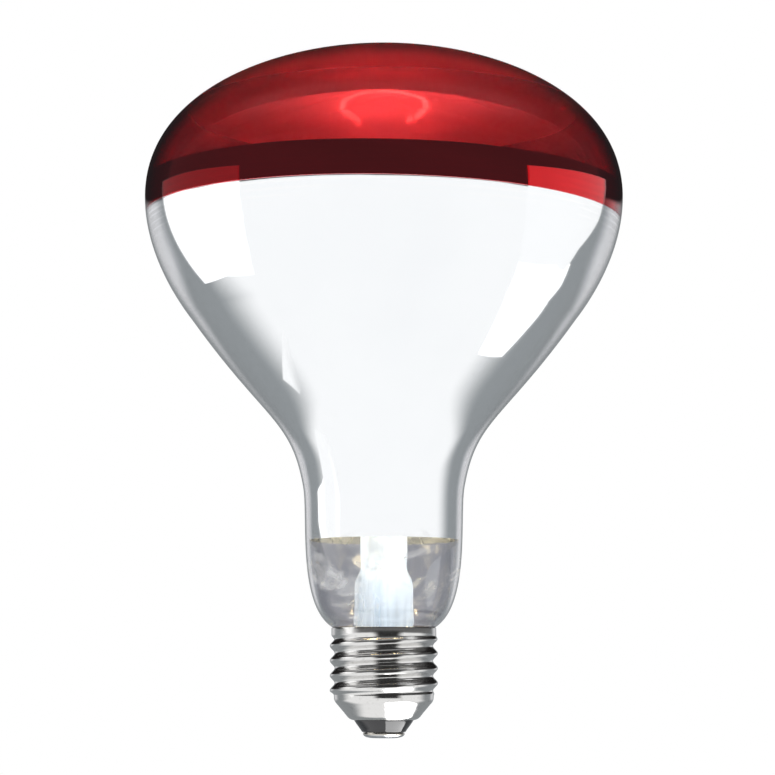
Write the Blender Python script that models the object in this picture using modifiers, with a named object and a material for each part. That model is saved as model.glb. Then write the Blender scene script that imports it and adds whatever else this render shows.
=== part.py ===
"""Infrared reflector heat lamp bulb with an E27 screw cap.

The lamp stands on its cap. The origin is the middle of the contact face under the cap, and +Z runs up the
lamp's axis to the red dome. +X is to the right of someone who faces the lamp, and +Y is away from them.
"""

import math

import bmesh
import bpy
from mathutils import Vector

MM = 0.001

# Bulb: the generatrix is four cubic curves, each (radius, height) in millimetres.
BULB_RADIUS = 59.5
BULB_HEIGHT = 170.6
EQUATOR_HEIGHT = 133.4
FLANK_POINT = (47.6, 103.0)
THROAT_POINT = (19.9, 61.3)
SEAL_POINT = (13.3, 27.4)
NECK_CURVE = ((18.7, 54.3), (21.2, 33.6))
SEAL_RADIUS = 10.6
SEAL_END = 21.5
GLASS_WALL = 1.1
GAP = 0.3

# Coats on the bulb
RED_EDGE = 128.2
RED_COAT = 0.25
MIRROR_TOP = 136.7
MIRROR_BOTTOM = 48.1
MIRROR_COAT = 0.2

# Stem: a flared glass tube, pressed flat at its top around the two lead wires
FLARE_RADIUS = 8.9
STEM_RADIUS = 7.2
STEM_SHOULDER = 38.5
WAIST_RADIUS = 5.4
WAIST_HEIGHT = 44.5
PRESS_TOP = 52.0
PRESS_ROUND = 1.5
BORE_TOP = 43.0
BORE_OVERLAP = 1.5
STEM_WALL = 1.0
PRESS_WIDEN = 1.12
PRESS_FLATTEN = 0.5
LEAD_SPACING = 6.4
LEAD_BORE = 0.75
EXHAUST_RADIUS = 2.1
EXHAUST_WALL = 0.7
EXHAUST_TIP = 15.0
EXHAUST_TOP = 41.8

# Filament mount
FILAMENT_HEIGHT = 82.0
FILAMENT_RING = 13.5
FILAMENT_TUBE = 0.9
FILAMENT_OPENING = math.radians(80.0)
SUPPORT_COUNT = 5
SUPPORT_WIRE = 0.3
SUPPORT_KNEE = (12.0, 76.5)
SUPPORT_ELBOW = 78.0
CLAMP_SIZE = (2.2, 1.6, 2.4)
CLAMP_ROUND = 0.25
CLAMP_LAP = math.radians(7.0)
LEAD_WIRE = 0.5
LEAD_SPREAD = (60.0, 72.0)
SEAL_WIRE = 0.35
OUTER_WIRE = 0.25
ARBOR_RADIUS = 1.6
ARBOR_BEAD = 2.8
ARBOR_TOP = 74.0
SHIELD_HEIGHT = 56.0
SHIELD_RADIUS = 16.3
SHIELD_THICKNESS = 0.4
SHIELD_BORE = 2.2
SHIELD_LEAD_HOLE = 1.1

# Leads inside the cap. The side lead's route bends under the seal and up its outer side.
SIDE_LEAD_BENDS = ((3.2, 0.0, 30.0), (3.0, 4.0, 25.0), (0.0, 6.4, 20.6), (0.0, 9.0, 18.8))
SIDE_LEAD_FOOT = 19.4
SIDE_LEAD_END = 24.0
FUSE_X = -4.0
FUSE_SPAN = (21.0, 27.0)
FUSE_RADIUS = 0.9
CONTACT_LEAD_BENDS = ((-1.5, 0.0, 12.5), (0.0, 0.0, 10.5))
CONTACT_LEAD_END = 2.4

# E27 cap. The cone's and the insulator's points are (radius, height).
CREST_RADIUS = 13.22
ROOT_RADIUS = 12.07
THREAD_PITCH = 3.629
THREAD_PHASE = 16.95
THREAD_TOP = 25.2
THREAD_BOTTOM = 10.2
RIM_RADIUS = 12.85
RIM_HEIGHT = 26.8
CONE_TOP = (12.2, 9.5)
CONE_SIDE = ((11.5, 8.25), (9.1, 5.4), (8.5, 4.85))
CONE_BOTTOM = (7.4, 4.35)
CONE_INSIDE = ((7.35, 4.65), (8.35, 5.1), (8.85, 5.6), (11.2, 8.4), (11.9, 9.6))
CAP_SHEET = 0.3
INSULATOR_TOP = ((1.6, 7.9), (8.0, 7.9), (9.9, 7.7))
INSULATOR_SIDE = ((8.5, 5.75), (7.9, 5.2), (7.0, 4.8), (7.05, 4.1), (6.3, 2.95), (5.45, 1.9))
INSULATOR_BOTTOM = (5.2, 1.65)
INSULATOR_BORE = 1.1
CONTACT_RADIUS = 5.1
CONTACT_PLATE = (0.9, 1.35)
CONTACT_ROUND = 0.25
SOLDER_RADIUS = 4.7
SOLDER_FLAT = 2.7
CEMENT_TOP = 26.0
CEMENT_BOTTOM = 23.8
SIDE_SOLDER_PLACE = (0.0, 11.9, 24.9)
SIDE_SOLDER_RADIUS = 0.5

ROUND_STEPS = 32
CAP_STEPS = 24
SMALL_STEPS = 16

MATERIALS = {
    "clear_glass": ((0.90, 0.93, 0.95), 0.03, 0.0),
    "red_lacquer": ((0.30, 0.01, 0.015), 0.06, 0.0),
    "aluminium_mirror": ((0.92, 0.93, 0.94), 0.08, 1.0),
    "stem_glass": ((0.85, 0.89, 0.90), 0.05, 0.0),
    "nickel_wire": ((0.62, 0.60, 0.57), 0.30, 1.0),
    "tinned_wire": ((0.70, 0.70, 0.69), 0.32, 1.0),
    "tungsten": ((0.35, 0.34, 0.33), 0.45, 1.0),
    "molybdenum": ((0.48, 0.48, 0.49), 0.40, 1.0),
    "steel_disc": ((0.66, 0.66, 0.67), 0.30, 1.0),
    "cement": ((0.62, 0.55, 0.44), 0.90, 0.0),
    "nickel_plate": ((0.72, 0.71, 0.69), 0.18, 1.0),
    "black_glass": ((0.008, 0.008, 0.010), 0.08, 0.0),
    "brass": ((0.72, 0.60, 0.38), 0.30, 1.0),
    "solder": ((0.68, 0.69, 0.71), 0.28, 1.0),
}


def clear_scene():
    for item in list(bpy.data.objects):
        bpy.data.objects.remove(item, do_unlink=True)


def new_collection(name):
    collection = bpy.data.collections.new(name)
    bpy.context.scene.collection.children.link(collection)
    return collection


def new_material(name):
    colour, roughness, metallic = MATERIALS[name]
    material = bpy.data.materials.new(name)
    material.use_nodes = True
    shader = material.node_tree.nodes["Principled BSDF"]
    shader.inputs["Base Color"].default_value = (*colour, 1.0)
    shader.inputs["Roughness"].default_value = roughness
    shader.inputs["Metallic"].default_value = metallic
    material.diffuse_color = (*colour, 1.0)
    return material


def add_object(name, data, material, collection):
    piece = bpy.data.objects.new(name, data)
    collection.objects.link(piece)
    if material is not None:
        data.materials.append(material)
    return piece


def shade(mesh, angle=40.0):
    mesh.shade_smooth()
    mesh.set_sharp_from_angle(angle=math.radians(angle))


# ---------------------------------------------------------------------------------------- outlines


def cubic(start, lead_out, lead_in, end, steps):
    """Points along a cubic curve, without its last point."""
    points = []
    for i in range(steps):
        t = i / steps
        weights = ((1 - t) ** 3, 3 * (1 - t) ** 2 * t, 3 * (1 - t) * t * t, t**3)
        ends = (start, lead_out, lead_in, end)
        points.append(tuple(sum(w * p[k] for w, p in zip(weights, ends)) for k in (0, 1)))
    return points


def bulb_curve():
    """The bulb's outer generatrix, from the top of the dome down to the start of the seal."""
    pole = (0.0, BULB_HEIGHT)
    equator = (BULB_RADIUS, EQUATOR_HEIGHT)
    curve = cubic(pole, (23.7, BULB_HEIGHT), (BULB_RADIUS, 160.6), equator, 9)
    curve += cubic(equator, (BULB_RADIUS, 117.7), (48.7, 104.5), FLANK_POINT, 5)
    curve += cubic(FLANK_POINT, (29.2, 77.5), (22.9, 78.3), THROAT_POINT, 7)
    curve += cubic(THROAT_POINT, *NECK_CURVE, SEAL_POINT, 7)
    curve.append(SEAL_POINT)
    return curve


def clip(curve, low, high):
    """The stretch of a falling curve between two heights, cut exactly at both."""
    stretch = []
    for upper, lower in zip(curve, curve[1:]):
        for height in (high, low):
            if upper[1] > height > lower[1]:
                part = (upper[1] - height) / (upper[1] - lower[1])
                stretch.append((upper[0] + part * (lower[0] - upper[0]), height))
        if low <= lower[1] <= high:
            stretch.append(lower)
    if curve[0][1] <= high:
        stretch.insert(0, curve[0])
    return sorted(stretch, key=lambda point: -point[1])


def inset(curve, depth):
    """A falling curve moved inwards along its normals. A point on the axis stays on the axis."""
    moved = []
    last = len(curve) - 1
    for i, (radius, height) in enumerate(curve):
        before, after = curve[max(i - 1, 0)], curve[min(i + 1, last)]
        along = Vector((after[0] - before[0], after[1] - before[1])).normalized()
        if radius == 0.0:
            moved.append((0.0, height - depth))
        else:
            moved.append((radius + along.y * depth, height - along.x * depth))
    return moved


def arc(centre, radius, start, end, steps):
    """Points on a circular arc in the (radius, height) plane, angles in degrees."""
    turns = [math.radians(start + (end - start) * i / steps) for i in range(steps + 1)]
    return [(centre[0] + radius * math.cos(a), centre[1] + radius * math.sin(a)) for a in turns]


# --------------------------------------------------------------------------------- solids from outlines


def turned(name, outline, steps, material, collection, closed=True):
    """A solid of revolution about Z. The outline falls along its outer side and rises inside."""
    mesh = bpy.data.meshes.new(name)
    points = [(radius * MM, 0.0, height * MM) for radius, height in outline]
    edges = [(i, i + 1) for i in range(len(points) - 1)]
    if closed:
        edges.append((len(points) - 1, 0))
    mesh.from_pydata(points, edges, [])
    piece = add_object(name, mesh, None, collection)
    screw = piece.modifiers.new("turn", "SCREW")
    screw.steps = screw.render_steps = steps
    screw.use_merge_vertices = True
    screw.merge_threshold = 0.00001
    baked = bake(piece)
    baked.data.materials.append(material)
    shade(baked.data)
    return baked


def bake(piece):
    """Replace an object by the mesh that its modifiers or its curve make."""
    name = piece.name
    collection = piece.users_collection[0]
    graph = bpy.context.evaluated_depsgraph_get()
    mesh = bpy.data.meshes.new_from_object(piece.evaluated_get(graph))
    matrix = piece.matrix_world.copy()
    bpy.data.objects.remove(piece, do_unlink=True)
    mesh.name = name
    baked = add_object(name, mesh, None, collection)
    baked.matrix_world = matrix
    return baked


def wire(name, route, radius, material, collection, sides=2):
    """A round wire along a route of (x, y, z) points in millimetres."""
    curve = bpy.data.curves.new(name, "CURVE")
    curve.dimensions = "3D"
    curve.bevel_depth = radius * MM
    curve.bevel_resolution = sides
    curve.use_fill_caps = True
    spline = curve.splines.new("POLY")
    spline.points.add(len(route) - 1)
    for point, place in zip(spline.points, route):
        point.co = (place[0] * MM, place[1] * MM, place[2] * MM, 1.0)
    return add_object(name, curve, material, collection)


def eased(route, rounds=2):
    """A route with its corners cut twice, so that a bent wire has soft bends."""
    for _ in range(rounds):
        softer = [route[0]]
        for a, b in zip(route, route[1:]):
            a, b = Vector(a), Vector(b)
            softer += [a.lerp(b, 0.25), a.lerp(b, 0.75)]
        route = softer + [route[-1]]
    return [tuple(point) for point in route]


def cylinder_cutter(name, x, y, low, high, radius, collection):
    """A round cutter parallel to Z."""
    mesh = bpy.data.meshes.new(name)
    shape = bmesh.new()
    bmesh.ops.create_cone(
        shape,
        cap_ends=True,
        segments=SMALL_STEPS,
        radius1=radius * MM,
        radius2=radius * MM,
        depth=(high - low) * MM,
    )
    shape.to_mesh(mesh)
    shape.free()
    cutter = add_object(name, mesh, None, collection)
    cutter.location = (x * MM, y * MM, (low + high) / 2 * MM)
    cutter.hide_render = True
    cutter.display_type = "WIRE"
    return cutter


def cut(piece, cutter):
    boolean = piece.modifiers.new("cut " + cutter.name, "BOOLEAN")
    boolean.operation = "DIFFERENCE"
    boolean.solver = "EXACT"
    boolean.object = cutter


# ------------------------------------------------------------------------------------- bulb and coats


def make_bulb(parts, paint):
    """The blown envelope, the red filter coat outside its dome, and the mirror coat inside its flank."""
    curve = bulb_curve()
    dome = clip(curve, RED_EDGE, BULB_HEIGHT)
    flank = clip(curve, SEAL_POINT[1], RED_EDGE - 2 * GAP)
    seal_neck = [(SEAL_RADIUS + 0.5, SEAL_POINT[1] - 1.6), (SEAL_RADIUS, SEAL_POINT[1] - 2.6)]
    seal_end = [(SEAL_RADIUS, SEAL_END), (SEAL_RADIUS - GLASS_WALL, SEAL_END)]
    outer = inset(dome, RED_COAT + GAP) + flank + seal_neck + seal_end
    inner_neck = [(SEAL_RADIUS - GLASS_WALL, SEAL_POINT[1] - 1.9)]
    inner = list(reversed(inset(curve, GLASS_WALL)))
    outline = outer + inner_neck + inner
    turned("glass_envelope", outline, ROUND_STEPS, paint["clear_glass"], parts, closed=False)

    coat = dome + list(reversed(inset(dome, RED_COAT)))
    turned("red_filter_coat", coat, ROUND_STEPS, paint["red_lacquer"], parts, closed=False)

    film = inset(clip(curve, MIRROR_BOTTOM, MIRROR_TOP), GLASS_WALL + GAP)
    mirror = film + list(reversed(inset(film, MIRROR_COAT)))
    turned("reflector_mirror_coat", mirror, ROUND_STEPS, paint["aluminium_mirror"], parts)


# ------------------------------------------------------------------------------------------------ stem


def press_blend(height):
    """0 below the stem's waist, rising smoothly to 1 at the pressed top."""
    part = min(max((height - WAIST_HEIGHT + 3.0) / 6.0, 0.0), 1.0)
    return part * part * (3.0 - 2.0 * part)


def make_stem(parts, cutters, paint):
    """The flared stem tube with its press, the exhaust tube, and the heat shield above them."""
    shoulder = (STEM_RADIUS, STEM_SHOULDER)
    waist = (WAIST_RADIUS, WAIST_HEIGHT)
    side = cubic(waist, (WAIST_RADIUS, 41.5), (STEM_RADIUS, 41.5), shoulder, 5)
    side += cubic(shoulder, (STEM_RADIUS, 30.0), (STEM_RADIUS, 27.0), (FLARE_RADIUS, SEAL_END), 6)
    top = arc((WAIST_RADIUS - PRESS_ROUND, PRESS_TOP - PRESS_ROUND), PRESS_ROUND, 90.0, 0.0, 4)
    levels = [(WAIST_RADIUS, height) for height in (48.7, 46.9)]
    bore = [point for point in inset(side, STEM_WALL) if point[1] < EXHAUST_TOP]
    inside = [(FLARE_RADIUS - STEM_WALL, SEAL_END)] + list(reversed(bore))
    roof = [(WAIST_RADIUS - 1.6, BORE_TOP - 0.5), (WAIST_RADIUS - 2.6, BORE_TOP), (0.0, BORE_TOP)]
    outline = [(0.0, PRESS_TOP)] + top + levels + side + [(FLARE_RADIUS, SEAL_END)] + inside + roof
    stem = turned("stem_flare", outline, 20, paint["stem_glass"], parts, closed=False)
    for vertex in stem.data.vertices:
        blend = press_blend(vertex.co.z / MM)
        vertex.co.x *= 1.0 + blend * (PRESS_WIDEN - 1.0)
        vertex.co.y *= 1.0 + blend * (PRESS_FLATTEN - 1.0)
    for side_name, x in (("left", -LEAD_SPACING / 2), ("right", LEAD_SPACING / 2)):
        low, high = BORE_TOP - BORE_OVERLAP, PRESS_TOP + 1.0
        bore_cut = cylinder_cutter("bore " + side_name, x, 0.0, low, high, LEAD_BORE, cutters)
        cut(stem, bore_cut)

    tip = arc((0.0, EXHAUST_TIP + EXHAUST_RADIUS), EXHAUST_RADIUS, 0.0, -90.0, 5)
    hollow = EXHAUST_RADIUS - EXHAUST_WALL
    hollow_end = arc((0.0, EXHAUST_TIP + EXHAUST_RADIUS), hollow, -90.0, 0.0, 4)
    tube = [(EXHAUST_RADIUS, EXHAUST_TOP)] + tip[:-1] + [(0.0, EXHAUST_TIP)]
    tube += [(0.0, EXHAUST_TIP + EXHAUST_WALL)] + hollow_end[1:] + [(hollow, EXHAUST_TOP)]
    turned("exhaust_tube", tube, SMALL_STEPS, paint["stem_glass"], parts)

    half = SHIELD_THICKNESS / 2
    disc = [(SHIELD_BORE, SHIELD_HEIGHT + half), (SHIELD_RADIUS, SHIELD_HEIGHT + half)]
    disc += [(SHIELD_RADIUS, SHIELD_HEIGHT - half), (SHIELD_BORE, SHIELD_HEIGHT - half)]
    shield = turned("heat_shield_disc", disc, 24, paint["steel_disc"], parts)
    for side_name, x in (("left", -LEAD_SPACING / 2), ("right", LEAD_SPACING / 2)):
        low, high = SHIELD_HEIGHT - 2.0, SHIELD_HEIGHT + 2.0
        hole = cylinder_cutter("shield hole " + side_name, x, 0.0, low, high, SHIELD_LEAD_HOLE, cutters)
        cut(shield, hole)

    rod_end = PRESS_TOP + GAP
    bead_middle = ARBOR_TOP - ARBOR_BEAD
    bead = arc((0.0, bead_middle), ARBOR_BEAD, 90.0, -52.0, 9)
    rod = [(0.0, ARBOR_TOP)] + bead[1:] + [(ARBOR_RADIUS, bead_middle - 2.8)]
    rod += [(ARBOR_RADIUS, rod_end), (0.0, rod_end)]
    turned("arbor_rod", rod, SMALL_STEPS, paint["stem_glass"], parts, closed=False)


# --------------------------------------------------------------------------------------------- filament


def ring_place(angle, height=FILAMENT_HEIGHT, radius=FILAMENT_RING):
    return (radius * math.cos(angle), radius * math.sin(angle), height)


def make_filament(parts, paint):
    """The C-shaped coil, its clamps, supports and inner leads. The coil is a tube of its outer diameter."""
    start = -math.pi / 2 + FILAMENT_OPENING / 2
    sweep = 2 * math.pi - FILAMENT_OPENING
    steps = 32
    route = [ring_place(start + sweep * i / steps) for i in range(steps + 1)]
    wire("filament_coil", route, FILAMENT_TUBE, paint["tungsten"], parts)

    for i in range(SUPPORT_COUNT):
        angle = start + sweep * (i + 1) / (SUPPORT_COUNT + 1)
        foot = ring_place(angle, ARBOR_TOP - ARBOR_BEAD + 0.4, ARBOR_BEAD + GAP)
        knee = ring_place(angle, SUPPORT_KNEE[1], SUPPORT_KNEE[0])
        hook = ring_place(angle, FILAMENT_HEIGHT - FILAMENT_TUBE - GAP)
        elbow = ring_place(angle, SUPPORT_ELBOW)
        route = eased([foot, knee, elbow, hook])
        wire(f"filament_support_{i + 1}", route, SUPPORT_WIRE, paint["molybdenum"], parts)

    for side_name, sign in (("left", -1), ("right", 1)):
        end_angle = -math.pi / 2 + sign * (FILAMENT_OPENING / 2 - CLAMP_LAP)
        place = ring_place(end_angle)
        clamp_mesh = bpy.data.meshes.new("filament_clamp_" + side_name)
        shape = bmesh.new()
        bmesh.ops.create_cube(shape, size=1.0)
        bmesh.ops.scale(shape, vec=Vector(CLAMP_SIZE) * MM, verts=shape.verts)
        rounding = dict(offset=CLAMP_ROUND * MM, segments=2, profile=0.5, affect="EDGES")
        bmesh.ops.bevel(shape, geom=shape.edges, **rounding)
        shape.to_mesh(clamp_mesh)
        shape.free()
        clamp = add_object(clamp_mesh.name, clamp_mesh, paint["nickel_wire"], parts)
        clamp.location = Vector(place) * MM
        clamp.rotation_euler = (0.0, 0.0, end_angle + math.pi / 2)
        x = sign * LEAD_SPACING / 2
        straight, bend = LEAD_SPREAD
        below = (place[0], place[1], FILAMENT_HEIGHT - CLAMP_SIZE[2] / 2 - GAP)
        route = [(x, 0.0, PRESS_TOP + GAP), (x, 0.0, straight), (place[0], place[1], bend), below]
        wire("inner_lead_" + side_name, eased(route), LEAD_WIRE, paint["nickel_wire"], parts)


# ------------------------------------------------------------------------------------- leads in the cap


def make_outer_leads(parts, paint):
    """Seal wires in the press, the side lead to the cap's rim, and the fused lead to the contact."""
    seal_top, seal_bottom = PRESS_TOP - 0.1, WAIST_HEIGHT - 1.0
    for side_name, x in (("left", -LEAD_SPACING / 2), ("right", LEAD_SPACING / 2)):
        route = [(x, 0.0, seal_top), (x, 0.0, seal_bottom)]
        wire("press_seal_wire_" + side_name, route, SEAL_WIRE, paint["tinned_wire"], parts)

    x = LEAD_SPACING / 2
    route_radius = SEAL_RADIUS + GAP + OUTER_WIRE
    start = seal_bottom - GAP
    route = [(x, 0.0, start), *SIDE_LEAD_BENDS]
    route += [(0.0, route_radius, SIDE_LEAD_FOOT), (0.0, route_radius, SIDE_LEAD_END)]
    wire("side_lead", eased(route), OUTER_WIRE, paint["tinned_wire"], parts)
    fuse_bottom, fuse_top = FUSE_SPAN
    route = [(-x, 0.0, start), (-x, 0.0, 32.0), (FUSE_X, 0.0, 29.0), (FUSE_X, 0.0, fuse_top + GAP)]
    wire("fuse_lead", eased(route), OUTER_WIRE, paint["tinned_wire"], parts)
    route = [(FUSE_X, 0.0, fuse_top), (FUSE_X, 0.0, fuse_bottom)]
    wire("fuse_link", route, FUSE_RADIUS, paint["stem_glass"], parts, sides=3)
    route = [(FUSE_X, 0.0, fuse_bottom - GAP), (FUSE_X, 0.0, 17.0), *CONTACT_LEAD_BENDS]
    route += [(0.0, 0.0, CONTACT_LEAD_END)]
    wire("contact_lead", eased(route), OUTER_WIRE, paint["tinned_wire"], parts)


# -------------------------------------------------------------------------------------------------- cap


def thread_radius(angle, height):
    """The cap's outer radius in its threaded stretch: a right-handed rolled thread that runs out."""
    mean = (CREST_RADIUS + ROOT_RADIUS) / 2
    depth = (CREST_RADIUS - ROOT_RADIUS) / 2
    phase = (height - THREAD_PHASE) / THREAD_PITCH - angle / (2 * math.pi)
    fade_top = min(max((THREAD_TOP - height) / 1.5, 0.0), 1.0)
    fade_bottom = min(max((height - THREAD_BOTTOM) / 1.2, 0.0), 1.0)
    wave = mean + depth * math.cos(2 * math.pi * phase)
    upper = RIM_RADIUS + (wave - RIM_RADIUS) * fade_top
    return CONE_TOP[0] + (upper - CONE_TOP[0]) * fade_bottom


def make_cap(parts, cutters, paint):
    """The rolled screw shell, the glass insulator, the contact, its solder and the capping cement."""
    rows = 21
    step = (THREAD_TOP - THREAD_BOTTOM) / rows
    heights = [THREAD_TOP - step * i for i in range(rows + 1)]
    sheet = CAP_SHEET
    outer = [(RIM_RADIUS - 0.1, RIM_HEIGHT), (RIM_RADIUS, RIM_HEIGHT - 0.15)]
    outer += [(RIM_RADIUS, height) for height in heights]
    outer += [CONE_TOP, *CONE_SIDE, CONE_BOTTOM]
    inner = list(CONE_INSIDE)
    inner += [(RIM_RADIUS - sheet, height) for height in reversed(heights)]
    inner += [(RIM_RADIUS - sheet, RIM_HEIGHT - 0.15), (RIM_RADIUS - sheet + 0.1, RIM_HEIGHT)]
    shell = turned("cap_shell", outer + inner, CAP_STEPS, paint["nickel_plate"], parts)
    middle = RIM_RADIUS - sheet / 2
    for vertex in shell.data.vertices:
        x, y, height = vertex.co / MM
        radius = math.hypot(x, y)
        if THREAD_BOTTOM - 0.01 <= height <= THREAD_TOP + 0.01 and radius > CONE_TOP[0] + 0.05:
            wanted = thread_radius(math.atan2(y, x), height)
            if radius < middle:
                wanted -= sheet
            vertex.co.x *= wanted / radius
            vertex.co.y *= wanted / radius
    shade(shell.data, 60.0)

    glass = [*INSULATOR_TOP, *INSULATOR_SIDE, INSULATOR_BOTTOM]
    glass += [(INSULATOR_BORE, INSULATOR_BOTTOM[1]), (INSULATOR_BORE, 6.8)]
    turned("cap_insulator", glass, CAP_STEPS, paint["black_glass"], parts)

    low, high = CONTACT_PLATE
    edge = arc((CONTACT_RADIUS - CONTACT_ROUND, low + CONTACT_ROUND), CONTACT_ROUND, 0.0, -90.0, 3)
    plate = [(1.0, high), (CONTACT_RADIUS, high)] + edge + [(1.0, low)]
    turned("centre_contact", plate, 24, paint["brass"], parts)

    head = low - GAP
    bead = [(0.0, high + 0.6), (0.5, high + 0.4), (0.6, high), (0.6, head), (SOLDER_RADIUS - 0.2, head)]
    bead += [(SOLDER_RADIUS, head - 0.15), (SOLDER_RADIUS - 0.9, 0.15), (SOLDER_FLAT, 0.0), (0.0, 0.0)]
    turned("centre_solder", bead, 24, paint["solder"], parts, closed=False)

    cement_out, cement_in = RIM_RADIUS - CAP_SHEET - GAP, SEAL_RADIUS + GAP
    ring = [(cement_out, CEMENT_TOP), (cement_out, CEMENT_TOP - 1.1), (cement_in + 0.3, CEMENT_BOTTOM)]
    ring += [(cement_in, CEMENT_BOTTOM + 0.3), (cement_in, CEMENT_TOP - 1.2)]
    ring += [(cement_in + 0.45, CEMENT_TOP - 0.4), (cement_in + 0.7, CEMENT_TOP)]
    cement = turned("capping_cement", ring, CAP_STEPS, paint["cement"], parts)
    notch = cylinder_cutter("cement notch", 0.0, 12.0, 20.0, 30.0, 1.2, cutters)
    cut(cement, notch)

    bead_mesh = bpy.data.meshes.new("side_solder")
    shape = bmesh.new()
    bmesh.ops.create_uvsphere(shape, u_segments=12, v_segments=8, radius=SIDE_SOLDER_RADIUS * MM)
    shape.to_mesh(bead_mesh)
    shape.free()
    side_solder = add_object("side_solder", bead_mesh, paint["solder"], parts)
    side_solder.location = Vector(SIDE_SOLDER_PLACE) * MM
    shade(bead_mesh)


def main():
    clear_scene()
    parts = new_collection("infrared heat lamp bulb")
    cutters = new_collection("cutters")
    paint = {name: new_material(name) for name in MATERIALS}
    make_bulb(parts, paint)
    make_stem(parts, cutters, paint)
    make_filament(parts, paint)
    make_outer_leads(parts, paint)
    make_cap(parts, cutters, paint)


main()
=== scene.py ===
"""Looks of the infrared heat lamp bulb: fine glass, mirror film, red coat, filament, leads and screw cap."""

import math

import bmesh
import bpy
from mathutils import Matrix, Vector


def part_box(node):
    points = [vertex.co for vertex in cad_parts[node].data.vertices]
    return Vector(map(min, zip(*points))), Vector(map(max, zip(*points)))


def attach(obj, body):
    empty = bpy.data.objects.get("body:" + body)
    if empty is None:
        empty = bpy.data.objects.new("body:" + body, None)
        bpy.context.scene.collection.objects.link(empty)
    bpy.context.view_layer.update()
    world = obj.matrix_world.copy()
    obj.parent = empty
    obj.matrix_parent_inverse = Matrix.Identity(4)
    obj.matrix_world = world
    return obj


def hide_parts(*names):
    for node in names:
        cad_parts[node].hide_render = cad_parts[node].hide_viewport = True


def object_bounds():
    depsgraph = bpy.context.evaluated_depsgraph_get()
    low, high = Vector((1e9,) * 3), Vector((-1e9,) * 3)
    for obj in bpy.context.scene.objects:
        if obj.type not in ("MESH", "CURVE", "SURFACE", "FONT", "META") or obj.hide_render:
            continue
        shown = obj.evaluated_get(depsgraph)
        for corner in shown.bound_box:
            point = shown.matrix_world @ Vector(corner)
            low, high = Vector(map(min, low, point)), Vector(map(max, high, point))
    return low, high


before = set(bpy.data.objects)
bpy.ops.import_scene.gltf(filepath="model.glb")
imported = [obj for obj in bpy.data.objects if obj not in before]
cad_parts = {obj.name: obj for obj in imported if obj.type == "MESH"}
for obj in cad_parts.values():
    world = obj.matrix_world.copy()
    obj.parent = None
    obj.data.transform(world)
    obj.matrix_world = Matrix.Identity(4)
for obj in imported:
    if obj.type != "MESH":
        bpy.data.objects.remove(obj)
CAD_LOW, CAD_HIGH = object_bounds()

MM = 0.001

# ------------------------------------------------------------------ sizes, in millimetres
LAMP_TOP = CAD_HIGH.z / MM
BULB_RADIUS = CAD_HIGH.x / MM
EQUATOR = 133.4
FLANK_POINT = (47.6, 103.0)
THROAT_POINT = (19.9, 61.3)
SEAL_POINT = (13.3, 27.4)
SEAL_RADIUS = 10.6
SEAL_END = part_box("glass_envelope")[0].z / MM
RED_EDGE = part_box("red_filter_coat")[0].z / MM
MIRROR_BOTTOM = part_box("reflector_mirror_coat")[0].z / MM
MIRROR_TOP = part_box("reflector_mirror_coat")[1].z / MM
GLASS_WALL = 0.8
RED_COAT = 0.02
EDGE_LEAN = 0.017
EDGE_ROW = 0.03
FILM = 0.05
SKIN_GAP = 0.005

STEM_RADIUS = 7.2
FLARE_RADIUS = 8.9
STEM_SHOULDER = 36.3
WAIST_RADIUS = 5.5
WAIST = 42.6
PRESS_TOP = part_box("stem_flare")[1].z / MM
STEM_WALL = 1.0
STEM_BORE_TOP = WAIST - 1.5
PRESS_ROUND = 1.5
LEAD_X = 3.2
EXHAUST_RADIUS = 2.1
EXHAUST_WALL = 0.7
EXHAUST_TOP = STEM_BORE_TOP - 1.2
EXHAUST_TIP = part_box("exhaust_tube")[0].z / MM

FILAMENT_HEIGHT = 82.0
FILAMENT_RING = 13.5
FILAMENT_OPENING = math.radians(80.0)
COIL_RADIUS = 0.82
COIL_WIRE = 0.16
COIL_PITCH = 0.62
SUPPORTS = 5
SUPPORT_WIRE = 0.2
LOOP_RADIUS = 1.02
CLAMP_SIZE = (2.2, 1.5, 2.3)
CLAMP_LAP = math.radians(7.0)
ARBOR_RADIUS = 1.6
LEAD_WIRE = 0.5
SEAL_WIRE = 0.35
OUTER_WIRE = 0.25
FUSE_TIP = 0.35
FUSE_SWELL = 0.55
SHIELD_BORE = 2.2
SHIELD_HALF = 0.19

CREST_RADIUS = 13.22
ROOT_RADIUS = 12.07
THREAD_PITCH = 3.629
THREAD_PHASE = 16.95
THREAD_TOP = 25.2
THREAD_BOTTOM = 10.2
RIM_RADIUS = 12.85
CONE_RADIUS = 12.2
RIM_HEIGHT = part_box("cap_shell")[1].z / MM
CAP_SHEET = 0.25
CONE_SHEET = 0.18
SIDE_SOLDER = Vector((0.0, 11.9, 24.9))
SOLDER_BEAD = 0.5

# ------------------------------------------------------------------ camera, matched to the photograph's view
CAMERA_DISTANCE = 0.6378
CAMERA_HEIGHT = 0.01285
CAMERA_SIDE = 0.0009
CAMERA_TILT = 0.1144
CAMERA_LENS = 120.3

ROUND = 192
CAP_ROWS = 150

# ------------------------------------------------------------------ studio, in millimetres and degrees
SOFTBOX_BEARING = 105.0
LEFT_OUT = 150
STRIPE_OUT = 45
RIGHT_OUT = 75
LOW_SOFTBOX = -20
FLOOR_HALF = 6000.0
FLOOR_LEVEL = -300.0
DEGREES = 57.29578


# ================================================================== shader helpers


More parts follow.
